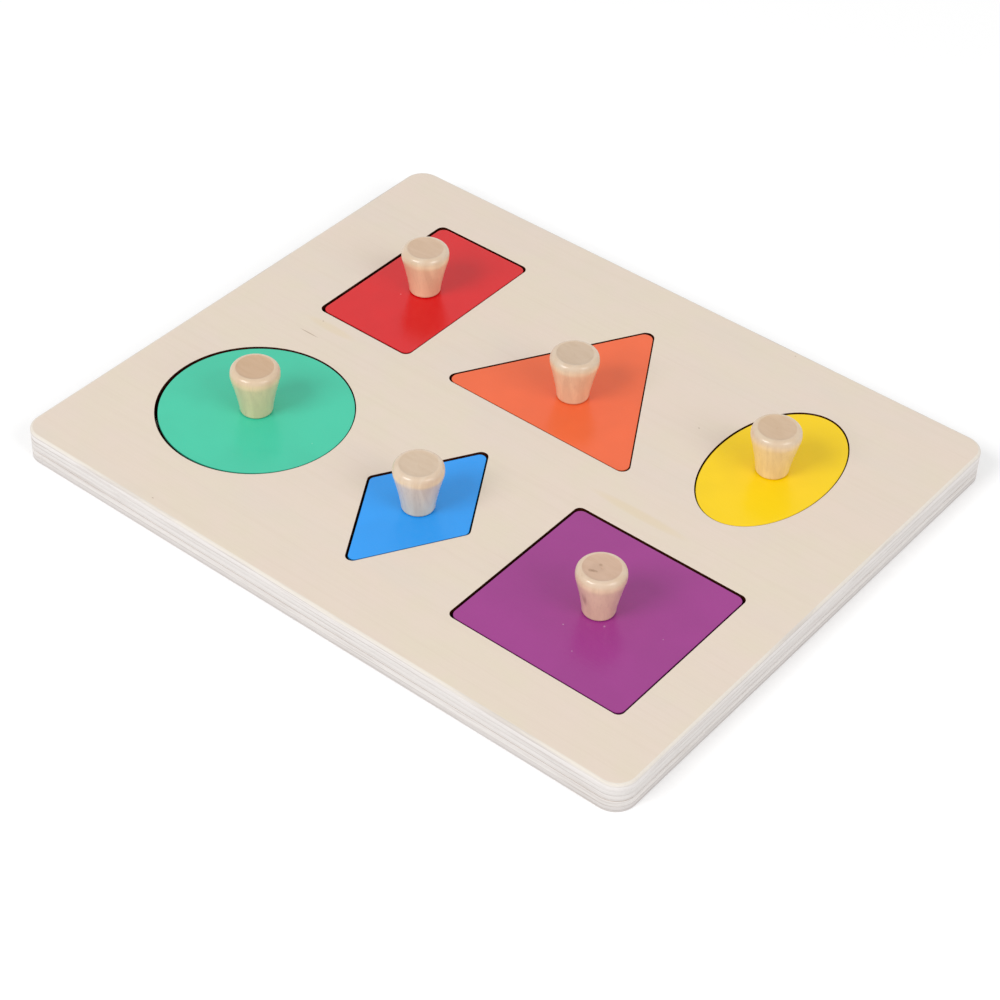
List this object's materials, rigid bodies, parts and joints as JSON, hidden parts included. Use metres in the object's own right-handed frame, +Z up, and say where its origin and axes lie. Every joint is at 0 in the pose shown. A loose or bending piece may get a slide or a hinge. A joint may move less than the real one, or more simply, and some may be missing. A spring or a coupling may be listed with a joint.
{
  "type": "knobbed shape puzzle",
  "caption": "Wooden shape puzzle: a two-layer plywood board with painted geometric insets that lift out by turned wooden knobs.",
  "frame": {"origin": "centre of the board's underside, on the surface that the puzzle lies on", "axes": "+X along the board's long side, +Y from the front row of insets to the back row, +Z up, the way the insets lift out"},
  "size_m": [0.3, 0.246, 0.0353],
  "materials": {
    "plywood": "sanded pale plywood, faintly sealed",
    "knob_wood": "turned beech, waxed to a soft sheen",
    "screw_steel": "zinc-plated steel",
    "red_paint": "satin red paint on plywood, bare scorched edges",
    "orange_paint": "satin orange paint on plywood, bare scorched edges",
    "yellow_paint": "satin yellow paint on plywood, bare scorched edges",
    "green_paint": "satin mint green paint on plywood, bare scorched edges",
    "blue_paint": "satin blue paint on plywood, bare scorched edges",
    "purple_paint": "satin purple paint on plywood, bare scorched edges"
  },
  "bodies": {
    "board": {"frame_board": "plywood", "backing_board": "plywood"},
    "green_circle_carrier": {"green_circle_screw": "screw_steel"},
    "green_circle": {"green_circle_inset": "green_paint", "green_circle_knob": "knob_wood"},
    "blue_rhombus": {"blue_rhombus_inset": "blue_paint", "blue_rhombus_knob": "knob_wood", "blue_rhombus_screw": "screw_steel"},
    "purple_square": {"purple_square_inset": "purple_paint", "purple_square_knob": "knob_wood", "purple_square_screw": "screw_steel"},
    "red_rectangle": {"red_rectangle_inset": "red_paint", "red_rectangle_knob": "knob_wood", "red_rectangle_screw": "screw_steel"},
    "orange_triangle": {"orange_triangle_inset": "orange_paint", "orange_triangle_knob": "knob_wood", "orange_triangle_screw": "screw_steel"},
    "yellow_ellipse": {"yellow_ellipse_inset": "yellow_paint", "yellow_ellipse_knob": "knob_wood", "yellow_ellipse_screw": "screw_steel"}
  },
  "joints": [
    {"name": "green_circle_lift", "type": "slide", "parent": "board", "child": "green_circle_carrier", "axis": [0, 0, 1], "range_m": [0, 0.04]},
    {"name": "green_circle_spin", "type": "hinge", "parent": "green_circle_carrier", "child": "green_circle", "pos_m": [-0.08727, -0.05288, 0.0137], "axis": [0, 0, 1], "continuous": true},
    {"name": "blue_rhombus_lift", "type": "slide", "parent": "board", "child": "blue_rhombus", "axis": [0, 0, 1], "range_m": [0, 0.04]},
    {"name": "purple_square_lift", "type": "slide", "parent": "board", "child": "purple_square", "axis": [0, 0, 1], "range_m": [0, 0.04]},
    {"name": "red_rectangle_lift", "type": "slide", "parent": "board", "child": "red_rectangle", "axis": [0, 0, 1], "range_m": [0, 0.04]},
    {"name": "orange_triangle_lift", "type": "slide", "parent": "board", "child": "orange_triangle", "axis": [0, 0, 1], "range_m": [0, 0.04]},
    {"name": "yellow_ellipse_lift", "type": "slide", "parent": "board", "child": "yellow_ellipse", "axis": [0, 0, 1], "range_m": [0, 0.04]}
  ]
}
